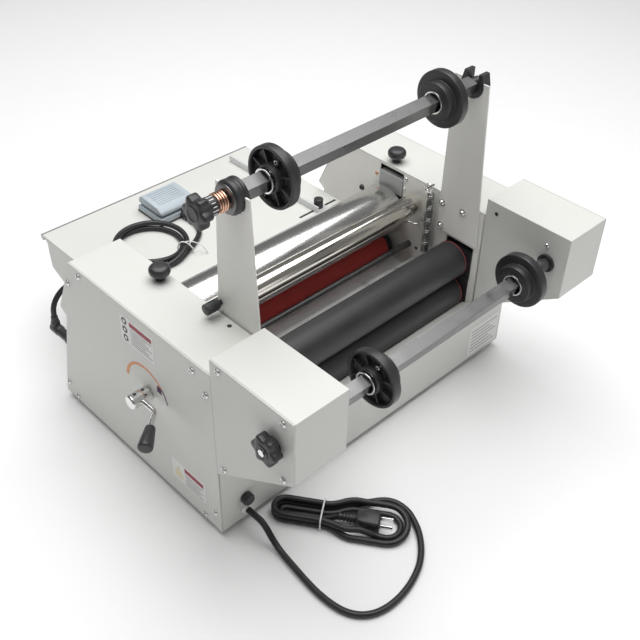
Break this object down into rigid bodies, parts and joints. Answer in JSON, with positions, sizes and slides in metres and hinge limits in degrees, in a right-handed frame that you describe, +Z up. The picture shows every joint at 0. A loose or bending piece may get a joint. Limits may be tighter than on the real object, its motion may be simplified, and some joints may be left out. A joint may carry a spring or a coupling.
{
  "type": "roll laminator",
  "caption": "Desktop hot and cold roll laminator with a heated roller pair, pull rollers, two film shafts with core discs, a pressure crank, a feed table and a foot switch.",
  "frame": {"origin": "centre of the footprint, on the surface that the machine stands on, cords apart", "axes": "+Z up, +Y towards the feed table, +X towards the machine's plain right side"},
  "size_m": [0.5918, 0.6954, 0.463],
  "materials": {
    "powder_coat": "fine-texture warm light grey powder coat",
    "zinc": "zinc-plated sheet",
    "chrome": "polished chrome plate",
    "bar_steel": "drawn steel bar, dull plating",
    "black_plastic": "moulded black, fine texture",
    "black_rubber": "ground black rubber",
    "red_silicone": "ground dark red silicone rubber",
    "clear_plastic": "milky clear acrylic",
    "pedal_plastic": "blue-grey moulding",
    "copper": "copper-plated spring wire",
    "spring_steel": "oiled dark spring steel",
    "cord": "black PVC sheath"
  },
  "bodies": {
    "machine_frame": {"chassis_pan": "powder_coat", "side_wall_left": "powder_coat", "side_wall_right": "powder_coat", "side_panel_left": "powder_coat", "side_panel_right": "powder_coat", "cabinet_cover_left": "powder_coat", "cabinet_cover_right": "powder_coat", "front_box_left": "powder_coat", "front_box_right": "powder_coat", "front_box_cover_left": "powder_coat", "front_box_cover_right": "powder_coat", "feed_table": "powder_coat", "shaft_bracket_left": "powder_coat", "shaft_bracket_right": "powder_coat", "guide_plate": "zinc", "drive_motor": "zinc", "shaft_saddle_right": "black_plastic", "fuse_cap": "black_plastic", "cord_gland": "black_plastic", "control_panel": "black_plastic", "brake_bush": "black_plastic", "mains_plug": "black_plastic", "pedal_plug": "black_plastic", "foot_bar_front": "black_rubber", "foot_bar_rear": "black_rubber", "pedal_base": "pedal_plastic", "lift_spring_right": "spring_steel", "mains_cord": "cord", "mains_hank": "cord", "pedal_cord_a": "cord", "pedal_coil": "cord", "pedal_cord_b": "cord"},
    "crank": {"pressure_shaft": "bar_steel", "crank_arm": "chrome"},
    "crank_grip": {"crank_grip": "black_plastic"},
    "lift_carriage": {"lift_block_left": "zinc", "lift_block_right": "zinc"},
    "heat_roller": {"heat_roller": "chrome"},
    "pull_carriage": {"pull_block_left": "black_plastic", "pull_block_right": "black_plastic"},
    "pull_roller_upper": {"pull_roller_upper": "black_rubber"},
    "pull_roller_lower": {"pull_roller_lower": "black_rubber"},
    "silicone_roller": {"silicone_roller": "red_silicone"},
    "guide_roller": {"guide_roller": "chrome"},
    "upper_shaft": {"upper_film_shaft": "bar_steel", "tension_spring": "copper"},
    "upper_disc_left": {"upper_disc_left": "black_plastic"},
    "upper_disc_right": {"upper_disc_right": "black_plastic"},
    "upper_star_knob": {"upper_star_knob": "black_plastic"},
    "lower_shaft": {"lower_film_shaft": "bar_steel"},
    "lower_disc_left": {"lower_disc_left": "black_plastic"},
    "lower_disc_right": {"lower_disc_right": "black_plastic"},
    "lower_star_knob": {"lower_star_knob": "black_plastic"},
    "deck_knob_left": {"deck_knob_left": "black_plastic"},
    "deck_knob_right": {"deck_knob_right": "black_plastic"},
    "bracket_lock_knob": {"bracket_lock_knob": "black_plastic"},
    "paper_guide": {"paper_guide": "clear_plastic"},
    "guide_thumbscrew": {"guide_thumbscrew": "black_plastic"},
    "pedal_treadle": {"pedal_treadle": "pedal_plastic"},
    "power_rocker": {"power_rocker": "black_plastic"}
  },
  "joints": [
    {"name": "crank_turn", "type": "hinge", "parent": "machine_frame", "child": "crank", "pos_m": [0.0309, -0.0525, 0.154], "axis": [1, 0, 0], "range_deg": [-170, 0]},
    {"name": "crank_grip_spin", "type": "hinge", "parent": "crank", "child": "crank_grip", "pos_m": [-0.26663, -0.09937, 0.15302], "axis": [-0.7404, -0.6703, -0.05], "continuous": true},
    {"name": "lift_carriage_slide", "type": "slide", "parent": "machine_frame", "child": "lift_carriage", "axis": [0, 0, 1], "range_m": [0, 0.008]},
    {"name": "heat_roller_spin", "type": "hinge", "parent": "lift_carriage", "child": "heat_roller", "pos_m": [0.0309, -0.0075, 0.196], "axis": [1, 0, 0], "continuous": true},
    {"name": "pull_carriage_slide", "type": "slide", "parent": "machine_frame", "child": "pull_carriage", "axis": [0, 0, 1], "range_m": [0, 0.006], "deforming": ["lift_spring_right"]},
    {"name": "pull_roller_upper_spin", "type": "hinge", "parent": "pull_carriage", "child": "pull_roller_upper", "pos_m": [0.0309, -0.1345, 0.174], "axis": [1, 0, 0], "continuous": true},
    {"name": "pull_roller_lower_spin", "type": "hinge", "parent": "machine_frame", "child": "pull_roller_lower", "pos_m": [0.0309, -0.1345, 0.1221], "axis": [1, 0, 0], "continuous": true},
    {"name": "silicone_roller_spin", "type": "hinge", "parent": "machine_frame", "child": "silicone_roller", "pos_m": [0.0309, -0.0075, 0.1357], "axis": [1, 0, 0], "continuous": true},
    {"name": "guide_roller_spin", "type": "hinge", "parent": "machine_frame", "child": "guide_roller", "pos_m": [0.0309, -0.0625, 0.23], "axis": [1, 0, 0], "continuous": true},
    {"name": "upper_shaft_spin", "type": "hinge", "parent": "machine_frame", "child": "upper_shaft", "pos_m": [0.0309, -0.1285, 0.428], "axis": [1, 0, 0], "continuous": true},
    {"name": "upper_disc_left_slide", "type": "slide", "parent": "upper_shaft", "child": "upper_disc_left", "axis": [1, 0, 0], "range_m": [-0.025, 0.1]},
    {"name": "upper_disc_right_slide", "type": "slide", "parent": "upper_shaft", "child": "upper_disc_right", "axis": [1, 0, 0], "range_m": [-0.1, 0.03]},
    {"name": "upper_star_knob_turn", "type": "hinge", "parent": "upper_shaft", "child": "upper_star_knob", "pos_m": [-0.1826, -0.1285, 0.428], "axis": [1, 0, 0], "range_deg": [-360, 360]},
    {"name": "lower_shaft_spin", "type": "hinge", "parent": "machine_frame", "child": "lower_shaft", "pos_m": [0.0309, -0.2745, 0.24], "axis": [1, 0, 0], "continuous": true},
    {"name": "lower_disc_left_slide", "type": "slide", "parent": "lower_shaft", "child": "lower_disc_left", "axis": [1, 0, 0], "range_m": [-0.035, 0.09]},
    {"name": "lower_disc_right_slide", "type": "slide", "parent": "lower_shaft", "child": "lower_disc_right", "axis": [1, 0, 0], "range_m": [-0.1, 0.004]},
    {"name": "lower_star_knob_turn", "type": "hinge", "parent": "lower_shaft", "child": "lower_star_knob", "pos_m": [-0.2349, -0.2745, 0.24], "axis": [1, 0, 0], "range_deg": [-360, 360]},
    {"name": "deck_knob_left_turn", "type": "hinge", "parent": "machine_frame", "child": "deck_knob_left", "pos_m": [-0.1721, -0.0055, 0.2623], "axis": [0, 0, 1], "range_deg": [-360, 360]},
    {"name": "deck_knob_right_turn", "type": "hinge", "parent": "machine_frame", "child": "deck_knob_right", "pos_m": [0.2339, -0.0055, 0.2623], "axis": [0, 0, 1], "range_deg": [-360, 360]},
    {"name": "bracket_lock_knob_turn", "type": "hinge", "parent": "machine_frame", "child": "bracket_lock_knob", "pos_m": [-0.1553, -0.0995, 0.276], "axis": [1, 0, 0], "range_deg": [-360, 360]},
    {"name": "paper_guide_slide", "type": "slide", "parent": "machine_frame", "child": "paper_guide", "axis": [1, 0, 0], "range_m": [-0.034, 0.027]},
    {"name": "guide_thumbscrew_turn", "type": "hinge", "parent": "paper_guide", "child": "guide_thumbscrew", "pos_m": [0.1809, 0.0935, 0.16], "axis": [0, 0, 1], "range_deg": [-180, 180]},
    {"name": "pedal_treadle_press", "type": "hinge", "parent": "machine_frame", "child": "pedal_treadle", "pos_m": [0.0109, 0.2605, 0.1765], "axis": [1, 0, 0], "range_deg": [0, 2.9], "stiffness_Nm_per_rad": 0.5, "springref_deg": -8.59},
    {"name": "power_rocker_tilt", "type": "hinge", "parent": "machine_frame", "child": "power_rocker", "pos_m": [0.2574, 0.12596, 0.19566], "axis": [1, 0, 0], "range_deg": [0, 8]}
  ],
  "couplings": [
    {"joint": "crank_turn", "follows": "lift_carriage_slide", "rad_per_m": -370},
    {"joint": "pull_carriage_slide", "follows": "lift_carriage_slide", "ratio": 0.74},
    {"joint": "silicone_roller_spin", "follows": "heat_roller_spin", "ratio": -1.5},
    {"joint": "pull_roller_upper_spin", "follows": "heat_roller_spin", "ratio": 1.3953},
    {"joint": "pull_roller_lower_spin", "follows": "heat_roller_spin", "ratio": -1.3953}
  ]
}
